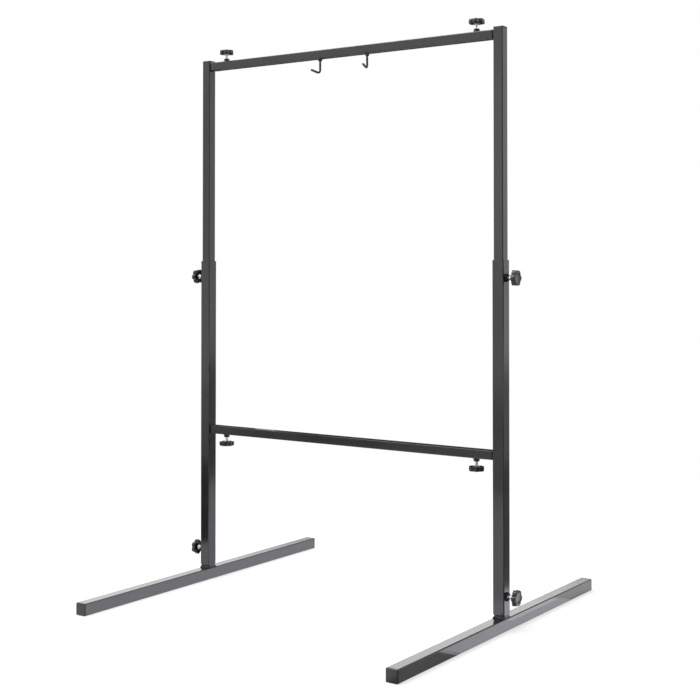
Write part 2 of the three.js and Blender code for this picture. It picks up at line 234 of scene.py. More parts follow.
# The wire's domed tip: how far it stands out, its steps, and the steps that would close it to a point
HOOK_TIP_SHARE = 0.55
HOOK_TIP_STEPS = 5
HOOK_TIP_WHOLE_STEPS = 5.4

# The angle at which each hook was left
HOOK_TURN = {"left": math.radians(232), "right": math.radians(278)}

record = frame["record"]
body_of_node = {node: body for body, nodes in record["behaviour"]["bodies"].items() for node in nodes}


# Working at the bench: selecting, entering and leaving edit mode, applying

def nothing_selected():
    if bpy.context.mode != "OBJECT":
        bpy.ops.object.mode_set(mode="OBJECT")
    bpy.ops.object.select_all(action="DESELECT")


def only(piece):
    nothing_selected()
    piece.select_set(True)
    bpy.context.view_layer.objects.active = piece


def edit(piece):
    only(piece)
    bpy.ops.object.mode_set(mode="EDIT")


def leave_edit():
    bpy.ops.object.mode_set(mode="OBJECT")


def new_piece(name):
    """Names the primitive that was just added and settles its size and place into its mesh."""
    piece = bpy.context.object
    piece.name = name
    piece.data.name = name
    settle(piece)
    return piece


def settle(piece):
    only(piece)
    bpy.ops.object.transform_apply(location=True, rotation=True, scale=True)


def pick(kind, wanted):
    """In edit mode, selects just the corners, edges or faces that wanted says yes to."""
    bpy.ops.mesh.select_mode(type=kind)
    bpy.ops.mesh.select_all(action="DESELECT")
    work = bmesh.from_edit_mesh(bpy.context.object.data)
    parts = {"VERT": work.verts, "EDGE": work.edges, "FACE": work.faces}[kind]
    for part in parts:
        part.select_set(bool(wanted(part)))
    work.select_flush_mode()
    bmesh.update_edit_mesh(bpy.context.object.data)


def pick_all():
    bpy.ops.mesh.select_all(action="SELECT")


def middle(edge):
    return (edge.verts[0].co + edge.verts[1].co) / 2


def runs_along(edge, axis):
    way = edge.verts[1].co - edge.verts[0].co
    return way.length > 0 and abs(way.normalized().dot(axis)) > POINTING


def faces_along(face, axis):
    return face.normal.dot(axis) > POINTING


def is_level(face):
    return abs(face.normal.z) > POINTING


def apply_modifier(piece, kind, **settings):
    only(piece)
    modifier = piece.modifiers.new(kind.lower(), kind)
    for setting, value in settings.items():
        setattr(modifier, setting, value)
    bpy.ops.object.modifier_apply(modifier=modifier.name)


def drop(piece):
    bpy.data.objects.remove(piece)


def smooth(piece, degrees=35, flats=True):
    """Smooth shading that keeps crisp edges, with flat faces kept flat."""
    only(piece)
    bpy.ops.object.shade_smooth_by_angle(angle=math.radians(degrees))
    if flats:
        apply_modifier(piece, "WEIGHTED_NORMAL", keep_sharp=True, weight=100)


def extrude_by(step):
    bpy.ops.mesh.extrude_region_move(TRANSFORM_OT_translate={"value": step})


def copy_of(source, name, turn, tilt, place):
    """A copy with its own mesh, turned about its own Z, then tilted, then moved to its place."""
    piece = source.copy()
    piece.data = source.data.copy()
    piece.name = name
    piece.data.name = name
    bpy.context.collection.objects.link(piece)
    piece.rotation_euler = (0, 0, turn)
    settle(piece)
    piece.rotation_euler = tilt
    piece.location = place
    settle(piece)
    return piece


def draw_profile(name, points):
    """A chain of corners in the XZ plane, drawn from one corner by extruding it from point to point."""
    nothing_selected()
    start = Vector((points[0][0], 0, points[0][1]))
    bpy.ops.mesh.primitive_plane_add(size=MM, location=start)
    piece = new_piece(name)
    edit(piece)
    bpy.ops.mesh.select_mode(type="VERT")
    pick_all()
    bpy.ops.mesh.merge(type="CENTER")
    for before, after in zip(points, points[1:]):
        extrude_by((after[0] - before[0], 0, after[1] - before[1]))
    leave_edit()
    return piece


def close_up(piece):
    """Merges doubled corners and turns every face outwards."""
    edit(piece)
    bpy.ops.mesh.select_mode(type="VERT")
    pick_all()
    bpy.ops.mesh.remove_doubles(threshold=DOUBLES)
    bpy.ops.mesh.normals_make_consistent(inside=False)
    leave_edit()


def turned(name, points, steps):
    """A turned shape round Z, from points of radius and height."""
    piece = draw_profile(name, points)
    edit(piece)
    pick_all()
    bpy.ops.mesh.spin(steps=steps, angle=WHOLE_TURN, center=(0, 0, 0), axis=Z_AXIS)
    leave_edit()
    close_up(piece)
    return piece


def arc(centre, radius, start, end, steps):
    """Points of a rounded corner, for a profile. Angles are in degrees from the radius towards the height."""
    angles = [math.radians(start + (end - start) * step / steps) for step in range(steps + 1)]
    return [(centre[0] + radius * math.cos(a), centre[1] + radius * math.sin(a)) for a in angles]


# Putting pieces in place of CAD nodes, or beside them

def goes_with(piece, node, material):
    """Finishes a piece that rides with a node and belongs to its material slot."""
    piece.data.materials.clear()
    piece.data.materials.append(material)
    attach(piece, body_of_node[node])


def stands_for(piece, node, material):
    """Finishes a piece that is seen instead of a node."""
    goes_with(piece, node, material)
    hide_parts(node)


# Material building

def make_group(name, inputs, outputs):
    """An empty shader node group with named inputs (with their usual values) and outputs."""
    group = bpy.data.node_groups.new(name, "ShaderNodeTree")
    for label, kind, value in inputs:
        socket = group.interface.new_socket(label, in_out="INPUT", socket_type=kind)
        socket.default_value = value
    for label, kind in outputs:
        group.interface.new_socket(label, in_out="OUTPUT", socket_type=kind)
    return group, group.nodes.new("NodeGroupInput"), group.nodes.new("NodeGroupOutput")


def node(tree, kind, **settings):
    made = tree.nodes.new(kind)
    for setting, value in settings.items():
        setattr(made, setting, value)
    return made


def maths(tree, operation, first, second):
    """A Math node of two inputs, each a socket or a number."""
    made = node(tree, "ShaderNodeMath", operation=operation)
    for slot, value in zip(made.inputs, (first, second)):
        if isinstance(value, bpy.types.NodeSocket):
            tree.links.new(value, slot)
        else:
            slot.default_value = value
    return made.outputs[0]


def spread(tree, value, low, high, out_low, out_high):
    """Maps the range low to high of a value on out_low to out_high, and stops at its ends."""
    made = node(tree, "ShaderNodeMapRange")
    tree.links.new(value, made.inputs["Value"])
    for label, number in (("From Min", low), ("From Max", high), ("To Min", out_low), ("To Max", out_high)):
        if isinstance(number, bpy.types.NodeSocket):
            tree.links.new(number, made.inputs[label])
        else:
            made.inputs[label].default_value = number
    return made.outputs["Result"]


def noise(tree, where, scale, detail=2.0, roughness=0.5, distortion=0.0):
    made = node(tree, "ShaderNodeTexNoise")
    tree.links.new(where, made.inputs["Vector"])
    if isinstance(scale, bpy.types.NodeSocket):
        tree.links.new(scale, made.inputs["Scale"])
    else:
        made.inputs["Scale"].default_value = scale
    made.inputs["Detail"].default_value = detail
    made.inputs["Roughness"].default_value = roughness
    made.inputs["Distortion"].default_value = distortion
    return made.outputs["Fac"]


def orange_peel_group():
    """The fine pebbled skin of sprayed powder, with the slow waviness under it."""
    group, given, put_out = make_group(
        "Orange peel",
        [("Pebbles per metre", "NodeSocketFloat", 900.0), ("Waves per metre", "NodeSocketFloat", 140.0),
         ("Waviness", "NodeSocketFloat", 0.4)],
        [("Height", "NodeSocketFloat")])
    place = node(group, "ShaderNodeTexCoord").outputs["Object"]
    pebbles = noise(group, place, given.outputs["Pebbles per metre"], detail=1.5)
    waves = noise(group, place, given.outputs["Waves per metre"], detail=1.0)
    wave_part = maths(group, "MULTIPLY", waves, given.outputs["Waviness"])
    group.links.new(maths(group, "ADD", pebbles, wave_part), put_out.inputs["Height"])
    return group


def patches_group():
    """Slow, soft patches, as where a coat is a little thicker or a surface was handled."""
    group, given, put_out = make_group(
        "Soft patches",
        [("Patches per metre", "NodeSocketFloat", 9.0), ("Specks per metre", "NodeSocketFloat", 420.0)],
        [("Patches", "NodeSocketFloat"), ("Specks", "NodeSocketFloat")])
    place = node(group, "ShaderNodeTexCoord").outputs["Object"]
    patches = noise(group, place, given.outputs["Patches per metre"], detail=4.0, distortion=0.6)
    specks = noise(group, place, given.outputs["Specks per metre"], detail=1.0)
    group.links.new(spread(group, patches, 0.32, 0.68, 0.0, 1.0), put_out.inputs["Patches"])
    group.links.new(spread(group, specks, 0.66, 0.74, 0.0, 1.0), put_out.inputs["Specks"])
    return group


def settled_dust_group():
    """A trace of dust that lies on what faces up."""
    group, given, put_out = make_group(
        "Settled dust",
        [("Amount", "NodeSocketFloat", 0.2), ("Grains per metre", "NodeSocketFloat", 60.0)],
        [("Dust", "NodeSocketFloat")])
    place = node(group, "ShaderNodeTexCoord")
    up = node(group, "ShaderNodeSeparateXYZ")
    group.links.new(place.outputs["Normal"], up.inputs[0])
    facing_up = spread(group, up.outputs["Z"], 0.35, 0.95, 0.0, 1.0)
    grains = noise(group, place.outputs["Object"], given.outputs["Grains per metre"], detail=6.0)
    clouds = spread(group, grains, 0.35, 0.75, 0.2, 1.0)
    lying = maths(group, "MULTIPLY", facing_up, clouds)
    group.links.new(maths(group, "MULTIPLY", lying, given.outputs["Amount"]), put_out.inputs["Dust"])
    return group


ORANGE_PEEL = orange_peel_group()
PATCHES = patches_group()
DUST = settled_dust_group()
DUST_COLOUR = (0.20, 0.195, 0.19)


def place_group(tree, group, **values):
    made = node(tree, "ShaderNodeGroup", node_tree=group)
    for label, value in values.items():
        made.inputs[label.replace("_", " ")].default_value = value
    return made


def blend_colours(tree, share, first, second):
    made = node(tree, "ShaderNodeMix", data_type="RGBA")
    tree.links.new(share, made.inputs["Factor"])
    for label, colour in (("A", first), ("B", second)):
        slot = next(s for s in made.inputs if s.name == label and s.type == "RGBA")
        if isinstance(colour, bpy.types.NodeSocket):
            tree.links.new(colour, slot)
        else:
            slot.default_value = (*colour, 1)
    return next(s for s in made.outputs if s.type == "RGBA")


def new_material(name, **settings):
    """A material whose Principled shader has the given sockets set."""
    material = bpy.data.materials.new(name)
    material.use_nodes = True
    shader = material.node_tree.nodes["Principled BSDF"]
    for label, value in settings.items():
        shader.inputs[label.replace("_", " ")].default_value = value
    return material, material.node_tree, shader


def bump(tree, shader, height, strength, distance):
    made = node(tree, "ShaderNodeBump")
    made.inputs["Strength"].default_value = strength
    made.inputs["Distance"].default_value = distance
    tree.links.new(height, made.inputs["Height"])
    tree.links.new(made.outputs["Normal"], shader.inputs["Normal"])


def powder_coat(name, ior):
    material, tree, shader = new_material(name, IOR=ior, Coat_Weight=0.2, Coat_Roughness=0.08)
    patches = place_group(tree, PATCHES)
    dust = place_group(tree, DUST, Amount=0.05)
    black = blend_colours(tree, patches.outputs["Patches"],
                          (0.0105, 0.0105, 0.0115), (0.0145, 0.0145, 0.0155))
    dusty = blend_colours(tree, dust.outputs["Dust"], black, DUST_COLOUR)
    tree.links.new(dusty, shader.inputs["Base Color"])
    gloss = spread(tree, patches.outputs["Patches"], 0.0, 1.0, 0.10, 0.15)
    tree.links.new(maths(tree, "ADD", gloss, maths(tree, "MULTIPLY", dust.outputs["Dust"], 0.5)),
                   shader.inputs["Roughness"])
    peel = place_group(tree, ORANGE_PEEL)
    bump(tree, shader, peel.outputs["Height"], strength=0.14, distance=0.10 * MM)
    return material


def shaded_weld_coat():
    """The same powder down in the corners of the welds, painted near-black with a weaker sheen as shade."""
    material, tree, shader = new_material("Powder coat on welds darkened as painted shade", IOR=1.42)
    patches = place_group(tree, PATCHES, Patches_per_metre=160.0)
    black = blend_colours(tree, patches.outputs["Patches"], (0.002, 0.002, 0.0025), (0.006, 0.006, 0.0065))
    tree.links.new(black, shader.inputs["Base Color"])
    tree.links.new(spread(tree, patches.outputs["Patches"], 0.0, 1.0, 0.06, 0.16), shader.inputs["Roughness"])
    peel = place_group(tree, ORANGE_PEEL, Pebbles_per_metre=1400.0, Waves_per_metre=420.0, Waviness=0.8)
    bump(tree, shader, peel.outputs["Height"], strength=0.7, distance=0.12 * MM)
    return material


def knob_plastic():
    material, tree, shader = new_material("Moulded knob plastic", IOR=1.52)
    patches = place_group(tree, PATCHES, Patches_per_metre=55.0)
    black = blend_colours(tree, patches.outputs["Patches"], (0.006, 0.006, 0.0065), (0.0115, 0.0115, 0.012))
    tree.links.new(black, shader.inputs["Base Color"])
    tree.links.new(spread(tree, patches.outputs["Patches"], 0.0, 1.0, 0.17, 0.27), shader.inputs["Roughness"])
    grain = place_group(tree, ORANGE_PEEL, Pebbles_per_metre=2600.0, Waves_per_metre=320.0, Waviness=0.8)
    bump(tree, shader, grain.outputs["Height"], strength=0.2, distance=0.05 * MM)
    return material


def cap_plastic():
    material, tree, shader = new_material("Moulded cap plastic", IOR=1.54)
    patches = place_group(tree, PATCHES, Patches_per_metre=40.0)
    dust = place_group(tree, DUST, Amount=0.08)
    black = blend_colours(tree, patches.outputs["Patches"], (0.011, 0.011, 0.0115), (0.017, 0.017, 0.0175))
    dusty = blend_colours(tree, dust.outputs["Dust"], black, DUST_COLOUR)
    tree.links.new(dusty, shader.inputs["Base Color"])
    tree.links.new(spread(tree, patches.outputs["Patches"], 0.0, 1.0, 0.28, 0.38), shader.inputs["Roughness"])
    grain = place_group(tree, ORANGE_PEEL, Pebbles_per_metre=2200.0, Waves_per_metre=260.0, Waviness=0.3)
    bump(tree, shader, grain.outputs["Height"], strength=0.35, distance=0.06 * MM)
    return material


def zinc_plate():
    material, tree, shader = new_material("Bright zinc plate", Metallic=1.0)
    patches = place_group(tree, PATCHES, Patches_per_metre=130.0, Specks_per_metre=1500.0)
    plated = blend_colours(tree, patches.outputs["Patches"], (0.86, 0.90, 0.95), (0.93, 0.94, 0.94))
    pitted = blend_colours(tree, patches.outputs["Specks"], plated, (0.42, 0.42, 0.42))
    tree.links.new(pitted, shader.inputs["Base Color"])
    tree.links.new(spread(tree, patches.outputs["Patches"], 0.0, 1.0, 0.20, 0.32), shader.inputs["Roughness"])
    return material


def hook_steel():
    material, tree, shader = new_material("Black-plated hook steel", Metallic=0.85)
    patches = place_group(tree, PATCHES, Patches_per_metre=90.0, Specks_per_metre=1300.0)
    black = blend_colours(tree, patches.outputs["Patches"], (0.045, 0.045, 0.047), (0.08, 0.079, 0.077))
    rubbed = blend_colours(tree, patches.outputs["Specks"], black, (0.24, 0.235, 0.23))
    tree.links.new(rubbed, shader.inputs["Base Color"])
    tree.links.new(spread(tree, patches.outputs["Patches"], 0.0, 1.0, 0.26, 0.42), shader.inputs["Roughness"])
    grain = place_group(tree, ORANGE_PEEL, Pebbles_per_metre=1800.0, Waves_per_metre=300.0, Waviness=0.4)
    bump(tree, shader, grain.outputs["Height"], strength=0.25, distance=0.05 * MM)
    return material


POWDER = powder_coat("Black powder coat", 1.56)
# The feet's copy of the powder reflects more strongly, a painted sheen for the brighter light that falls on
# them
FEET_POWDER_PAINTED_SHEEN = powder_coat("Powder coat of the feet with a painted sheen", 1.95)
# The welds, tacks, necks and seats wear the powder darkened as painted shade
SHADED_WELD_COAT = shaded_weld_coat()
KNOB_PLASTIC = knob_plastic()
CAP_PLASTIC = cap_plastic()
ZINC = zinc_plate()
HOOK_STEEL = hook_steel()


# The camera, at the photograph's viewing angle

def camera():
    lens = bpy.data.cameras.new("camera")
    lens.sensor_width = CAMERA_SENSOR
    lens.lens = CAMERA_LENS
    lens.shift_y = CAMERA_SHIFT
    held = bpy.data.objects.new("camera", lens)
    held.location = CAMERA_PLACE
    held.rotation_euler = (CAMERA_PITCH, 0, CAMERA_HEADING)
    bpy.context.scene.collection.objects.link(held)
    bpy.context.scene.camera = held


camera()


# The studio: a white floor that keeps the shadow, a white surround, soft lamps, and cards for mirrors

# Name, place, what it aims at, width, height and power
SOFTBOXES = (
    ("back_softbox", (-2.0, 7.4, 4.3), (0, 0, 1.0), 14.0, 5.0, 140),
    ("front_softbox", (-2.8, -4.8, 4.2), (0, 0, 1.0), 2.6, 1.6, 90),
    ("top_softbox", (-1.0, -0.6, 3.7), (0, 0, 0.6), 3.2, 2.0, 110),
    ("side_softbox", (4.8, 0.6, 3.2), (0, 0, 0.8), 1.6, 1.6, 40),
)

# Name, low corner, high corner, glow and tint of each card: unlit parts of the room, lit walls and paper
CARDS = (
    ("dim_low_wall", (-10.0, 7.0, 0.0), (-2.2, 7.1, 1.66), 0.05, WHITE),
    ("dim_back_flag", (0.8, 6.9, 2.2), (3.6, 7.0, 6.0), 0.02, WHITE),
    ("dark_high_back", (-3.6, 7.0, 3.3), (5.0, 7.1, 9.0), 0.1, WHITE),
    ("dark_behind_bar_left", (-0.56, 0.12, 0.42), (-0.385, 0.121, 0.56), 0.05, WHITE),
    ("dark_behind_bar", (-0.315, 0.12, 0.42), (0.37, 0.121, 0.56), 0.05, WHITE),
    ("dark_over_bar_front", (-0.41, -0.12, 0.56), (0.37, 0.0, 0.561), 0.05, WHITE),
    ("dark_over_bar_rear", (-0.315, 0.0, 0.56), (0.37, 0.121, 0.561), 0.05, WHITE),
    ("dim_far_floor", (-10.0, 4.6, 0.0), (-1.6, 7.0, 0.02), 0.06, WHITE),
    ("dark_room", (-0.6, -7.0, 0.3), (6.5, -6.9, 3.4), 0.1, WHITE),
    ("dark_room_side", (6.5, -7.0, 0.3), (6.6, -0.6, 3.4), 0.1, WHITE),
    ("dim_front_floor", (-4.2, -4.8, 0.0), (-0.2, -1.6, 0.02), 0.55, WHITE),
    ("dark_front_spot", (-1.9, -1.6, 0.0), (-0.76, -0.36, 0.02), 0.04, VIOLET_TINT),
    ("dark_side_spot", (0.66, 0.36, 0.0), (1.9, 2.3, 0.02), 0.2, WHITE),
    ("dim_paper_edge", (0.436, -0.9, -PAPER), (0.9, -0.228, PAPER), 0.32, WHITE),
    ("bright_paper_spot", (0.2, -0.26, PAPER), (0.43, -0.02, 2 * PAPER), 1.7, PAPER_TINT),
    ("dark_paper_spot", (0.53, -0.4, PAPER), (0.9, 0.08, 2 * PAPER), 0.05, WHITE),
    ("dark_corner_floor", (0.9, -1.3, PAPER), (4.5, 1.0, 2 * PAPER), 0.1, WHITE),
    ("bright_paper_patch", (0.5, 0.09, PAPER), (0.66, 0.34, 2 * PAPER), 1.9, PAPER_TINT),
    ("bright_paper_middle", (-0.43, -0.44, -PAPER), (0.43, 1.1, PAPER), 1.15, PAPER_TINT),
    ("bright_paper_right", (0.467, -0.208, -PAPER), (1.6, 0.35, PAPER), 1.35, PAPER_TINT),
    ("bright_front_wall", (-2.7, -4.8, 0.9), (-1.0, -4.75, 2.2), 1.3, WHITE),
    ("dim_front_wall", (-5.5, -4.8, 0.9), (-3.8, -4.75, 2.2), 0.85, WHITE),
    ("dim_floor_spot", (-2.25, -3.0, 0.03), (-1.42, -2.1, 0.04), 0.15, WHITE),
    ("dark_room_floor", (0.2, -4.5, 0.0), (4.5, -1.3, 0.02), 0.2, WHITE),
    ("dim_side_floor", (1.7, 2.3, 0.0), (5.0, 7.0, 0.02), 0.4, WHITE),
)


def seen_directly(tree):
    """1 for rays that come from the camera, a mirror or glass, and 0 for rays that only bring light."""
    path = node(tree, "ShaderNodeLightPath").outputs
    mirrored = maths(tree, "MAXIMUM", path["Is Glossy Ray"], path["Is Transmission Ray"])
    return maths(tree, "MAXIMUM", path["Is Camera Ray"], mirrored)


def studio_floor():
    nothing_selected()
    bpy.ops.mesh.primitive_circle_add(vertices=96, radius=FLOOR_RADIUS, fill_type="NGON")
    floor = new_piece("studio_floor")
    floor.location.z = -FLOOR_SINK
    material = bpy.data.materials.new("White studio floor")
    material.use_nodes = True
    tree = material.node_tree
    tree.nodes.clear()
    paper = node(tree, "ShaderNodeBsdfDiffuse")
    paper.inputs["Color"].default_value = FLOOR_WHITE
    glow = node(tree, "ShaderNodeEmission")
    mixed = node(tree, "ShaderNodeMixShader")
    place = node(tree, "ShaderNodeTexCoord").outputs["Object"]
    away = node(tree, "ShaderNodeVectorMath", operation="LENGTH")
    tree.links.new(place, away.inputs[0])
    plain_white = spread(tree, away.outputs["Value"], SHADOW_NEAR, SHADOW_FAR, SHADOW_LIFT, 1.0)
    tree.links.new(maths(tree, "MULTIPLY", seen_directly(tree), plain_white), mixed.inputs["Fac"])
    tree.links.new(paper.outputs[0], mixed.inputs[1])
    tree.links.new(glow.outputs[0], mixed.inputs[2])
    put_out = node(tree, "ShaderNodeOutputMaterial")
    tree.links.new(mixed.outputs[0], put_out.inputs["Surface"])
    floor.data.materials.append(material)


def surround():
    world = bpy.data.worlds.new("White surround")
    bpy.context.scene.world = world
    world.use_nodes = True
    tree = world.node_tree
    tree.nodes.clear()
    light = node(tree, "ShaderNodeBackground")
    light.inputs["Color"].default_value = (*WHITE, 1)
    strength = spread(tree, seen_directly(tree), 0.0, 1.0, SURROUND_LIGHT, 1.0)
    tree.links.new(strength, light.inputs["Strength"])
    put_out = node(tree, "ShaderNodeOutputWorld")
    tree.links.new(light.outputs[0], put_out.inputs["Surface"])


def softbox(name, place, aim, width, height, power):
    lamp = bpy.data.lights.new(name, "AREA")
    lamp.shape = "RECTANGLE"
    lamp.size = width
    lamp.size_y = height
    lamp.energy = power
    held = bpy.data.objects.new(name, lamp)
    held.location = place
    held.rotation_euler = (Vector(aim) - Vector(place)).to_track_quat("-Z", "Y").to_euler()
    held.visible_camera = False
    bpy.context.scene.collection.objects.link(held)


def card(name, low, high, glow, tint):
    """A card that only mirrors see. It lights nothing and casts no shadow."""
    low, high = Vector(low), Vector(high)
    nothing_selected()
    bpy.ops.mesh.primitive_cube_add(size=1, location=(low + high) / 2, scale=high - low)
    board = new_piece(name)
    material = bpy.data.materials.new(name)
    material.use_nodes = True
    tree = material.node_tree
    tree.nodes.clear()
    paint = node(tree, "ShaderNodeEmission")
    paint.inputs["Color"].default_value = (*tint, 1)
    paint.inputs["Strength"].default_value = glow
    put_out = node(tree, "ShaderNodeOutputMaterial")
    tree.links.new(paint.outputs[0], put_out.inputs["Surface"])
    board.data.materials.append(material)
    board.visible_camera = False
    board.visible_diffuse = False
    board.visible_transmission = False
    board.visible_shadow = False


studio_floor()
surround()
for softbox_values in SOFTBOXES:
    softbox(*softbox_values)
for card_values in CARDS:
    card(*card_values)
bpy.context.scene.view_settings.view_transform = "Standard"


# Square tubes

def square_tube(name, width, wall, corner, length):
    """A hollow square tube along +Z from the origin, with round corners and eased ends."""
    nothing_selected()
    bpy.ops.mesh.primitive_cube_add(size=1, location=(0, 0, length / 2), scale=(width, width, length))
    tube = new_piece(name)
    edit(tube)
    pick("EDGE", lambda edge: runs_along(edge, Z_AXIS))
    bpy.ops.mesh.bevel(offset=corner, segments=TUBE_CORNER_STEPS, affect="EDGES")
    pick("FACE", is_level)
    bpy.ops.mesh.delete(type="ONLY_FACE")
    leave_edit()
    apply_modifier(tube, "SOLIDIFY", thickness=wall, offset=-1, use_even_offset=True)
    edit(tube)

    def on_rim(edge):
        at_end = abs(middle(edge).z - length / 2) > length / 2 - TUBE_END_REACH
        return at_end and sum(is_level(face) for face in edge.link_faces) == 1

    pick("EDGE", on_rim)
    bpy.ops.mesh.bevel(offset=TUBE_RIM_EASE, segments=2, affect="EDGES")
    leave_edit()
    return tube


TILT_TO = {"X": (0, QUARTER, 0), "Y": (-QUARTER, 0, 0), "Z": UNTILTED}


def tube_for(node_name, kind, axis):
    """The tube that a CAD node stands for, along that axis, read from the node's box."""
    low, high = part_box(node_name)
    size = high - low
    along = "XYZ".index(axis)
    width = min(size)
    tube = square_tube(node_name + "_made", width, TUBE_WALL[kind], TUBE_CORNER[kind], size[along])
    start = (low + high) / 2
    start[along] = low[along]
    tube.rotation_euler = TILT_TO[axis]
    tube.location = start
    settle(tube)
    return tube


def drill(tube, place, radius, way):
    """Cuts a round hole through the one wall that the drill reaches. Way points out of the tube."""
    nothing_selected()
    turn = way.to_track_quat("Z", "Y").to_euler()
    bpy.ops.mesh.primitive_cylinder_add(vertices=32, radius=radius, depth=DRILL_REACH, location=place,
                                        rotation=turn)
    bit = new_piece("drill")
    apply_modifier(tube, "BOOLEAN", object=bit, operation="DIFFERENCE", solver="EXACT")
    drop(bit)


# Clamp origins: the middle of each nut's foot, on the tube's face

def clamp_place(clamp, side):
    """The origin of a clamp, the way in which its screw points out, and the tilt that turns +Z that way."""
    low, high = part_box(f"{clamp}_nut_{side}")
    place = (low + high) / 2
    if clamp in UPRIGHT_CLAMPS:
        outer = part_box(f"lower_upright_{side}")
        place.x = outer[1].x if side == "right" else outer[0].x
        return place, Vector((SIDES[side], 0, 0)), (0, SIDES[side] * QUARTER, 0)
    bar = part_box(clamp.replace("_clamp", ""))
    if clamp == "top_bar_clamp":
        place.z = bar[1].z
        return place, Z_AXIS, UNTILTED
    place.z = bar[0].z
    return place, -Z_AXIS, (2 * QUARTER, 0, 0)


def tubes():
    for side in SIDES:
        foot = tube_for(f"foot_tube_{side}", "foot", "Y")
        outer = tube_for(f"lower_upright_{side}", "outer", "Z")
        for clamp in UPRIGHT_CLAMPS:
            place, way, _ = clamp_place(clamp, side)
            drill(outer, place, SCREW_HOLE_RADIUS, way)
        inner = tube_for(f"upper_upright_{side}", "inner", "Z")
        stub = tube_for(f"foot_stub_{side}", "inner", "Z")
        made = [(foot, "foot_tube"), (outer, "lower_upright"), (inner, "upper_upright"), (stub, "foot_stub")]
        for bar in BARS:
            made.append((tube_for(f"{bar}_stub_{side}", "stub", "X"), f"{bar}_stub"))
        for tube, stem in made:
            smooth(tube)
            # The feet wear the copy of the powder with the painted sheen
            stands_for(tube, f"{stem}_{side}", FEET_POWDER_PAINTED_SHEEN if stem == "foot_tube" else POWDER)
    for bar in BARS:
        tube = tube_for(bar, "bar", "X")
        for side in SIDES:
            place, way, _ = clamp_place(f"{bar}_clamp", side)
            drill(tube, place, SCREW_HOLE_RADIUS, way)
            if bar == "top_bar":
                low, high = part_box(f"hook_lock_nut_{side}")
                drill(tube, ((low.x + high.x) / 2, 0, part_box(bar)[0].z), HOOK_HOLE_RADIUS, -Z_AXIS)
        smooth(tube)
        stands_for(tube, bar, POWDER)


tubes()


# Clamp screws with a real thread

def threaded_rod(name, radius, depth, pitch, bottom, top):
    """A rod along Z with a helical thread, from bottom to top, with a flat end at both."""
    root = radius - depth
    tooth = [(root, 0), (root, 0.12), (radius, 0.44), (radius, 0.58), (root, 0.9), (root, 1)]
    turns = math.ceil((top - bottom) / pitch) + 2
    rod = draw_profile(name, [(out, share * pitch + bottom - pitch) for out, share in tooth])
    apply_modifier(rod, "SCREW", axis="Z", angle=WHOLE_TURN, screw_offset=pitch, iterations=turns,
                   steps=THREAD_STEPS, render_steps=THREAD_STEPS,
                   use_merge_vertices=True, merge_threshold=DOUBLES / 2)
    edit(rod)
    pick_all()
    bpy.ops.mesh.remove_doubles(threshold=DOUBLES)
    pick_all()
    bpy.ops.mesh.bisect(plane_co=(0, 0, bottom), plane_no=Z_AXIS, use_fill=True, clear_inner=True)
    pick_all()
    bpy.ops.mesh.bisect(plane_co=(0, 0, top), plane_no=Z_AXIS, use_fill=True, clear_outer=True)
    pick_all()
    bpy.ops.mesh.normals_make_consistent(inside=False)
    leave_edit()
    return rod


def clamp_screw(low, high):
    """The screw of one clamp, between two heights over the tube's face, with a chamfered point."""
    screw = threaded_rod("screw_pattern", SCREW_RADIUS, THREAD_DEPTH, SCREW_PITCH, low + SCREW_TIP, high)
    edit(screw)
    pick("FACE", lambda face: faces_along(face, -Z_AXIS))
    extrude_by((0, 0, -SCREW_TIP))
    bpy.ops.transform.resize(value=(SCREW_TIP_SHARE, SCREW_TIP_SHARE, 1), center_override=(0, 0, low))
    leave_edit()
    return screw


# Star knobs

def near_corner(radius, height, steps):
    """Points of a profile near a corner, from their steps out and up in millimetres."""
    return [(radius + out * MM, height + up * MM) for out, up in steps]


def star_knob():
    """A hollow-backed star knob: a hub with a recess, rounded lobes and a crown with a shallow dish.

    It is turned round first, and the valleys between the lobes are then drawn in, ring step by ring step.
    """
    recess = RECESS_DEPTH
    skirt = KNOB_SKIRT_ROUND
    crown_side = KNOB_RADIUS - KNOB_DRAFT
    profile = [(0, recess), (RECESS_RADIUS, recess), (RECESS_RADIUS, 0)]
    profile += near_corner(KNOB_HUB_RADIUS, 0, KNOB_HUB_EDGE)
    profile += near_corner(KNOB_HUB_RADIUS, KNOB_FLOOR, KNOB_HOLLOW_INNER_EDGE)
    profile += near_corner(KNOB_RADIUS, KNOB_FLOOR, KNOB_HOLLOW_OUTER_EDGE)
    profile += near_corner(KNOB_RADIUS, KNOB_UNDERSIDE, KNOB_SKIRT_EDGE)
    profile += arc((KNOB_RADIUS - skirt, KNOB_UNDERSIDE + skirt), skirt, -90, 0, 5)
    profile += arc((crown_side - KNOB_CROWN_ROUND, KNOB_CROWN - KNOB_CROWN_DROP), KNOB_CROWN_ROUND, 8, 80, 8)
    profile += near_corner(crown_side, KNOB_CROWN, KNOB_SHOULDER_EDGE)
    profile += near_corner(KNOB_DISH_RADIUS, KNOB_CROWN, KNOB_DISH_EDGE)
    profile += near_corner(0, KNOB_CROWN, KNOB_DISH_FLOOR)
    knob = turned("knob_pattern", profile, steps=KNOB_LOBES * STEPS_PER_LOBE)
    edit(knob)
    lobe = WHOLE_TURN / KNOB_LOBES
    for step in range(1, STEPS_PER_LOBE // 2 + 1):
        wave = (1 + math.cos(math.pi * step / (STEPS_PER_LOBE / 2))) / 2
        share = 1 - KNOB_VALLEY / KNOB_RADIUS * (1 - wave ** LOBE_ROUNDNESS)

        def in_step(corner, step=step):
            if math.hypot(corner.co.x, corner.co.y) < KNOB_LOBES_FROM:
                return False
            turn = (math.atan2(corner.co.y, corner.co.x) % lobe) / lobe * STEPS_PER_LOBE
            return round(turn) in (step, STEPS_PER_LOBE - step)

        pick("VERT", in_step)
        bpy.ops.transform.resize(value=(share, share, 1), center_override=(0, 0, 0))
    leave_edit()
    return knob


# Hexagon nuts

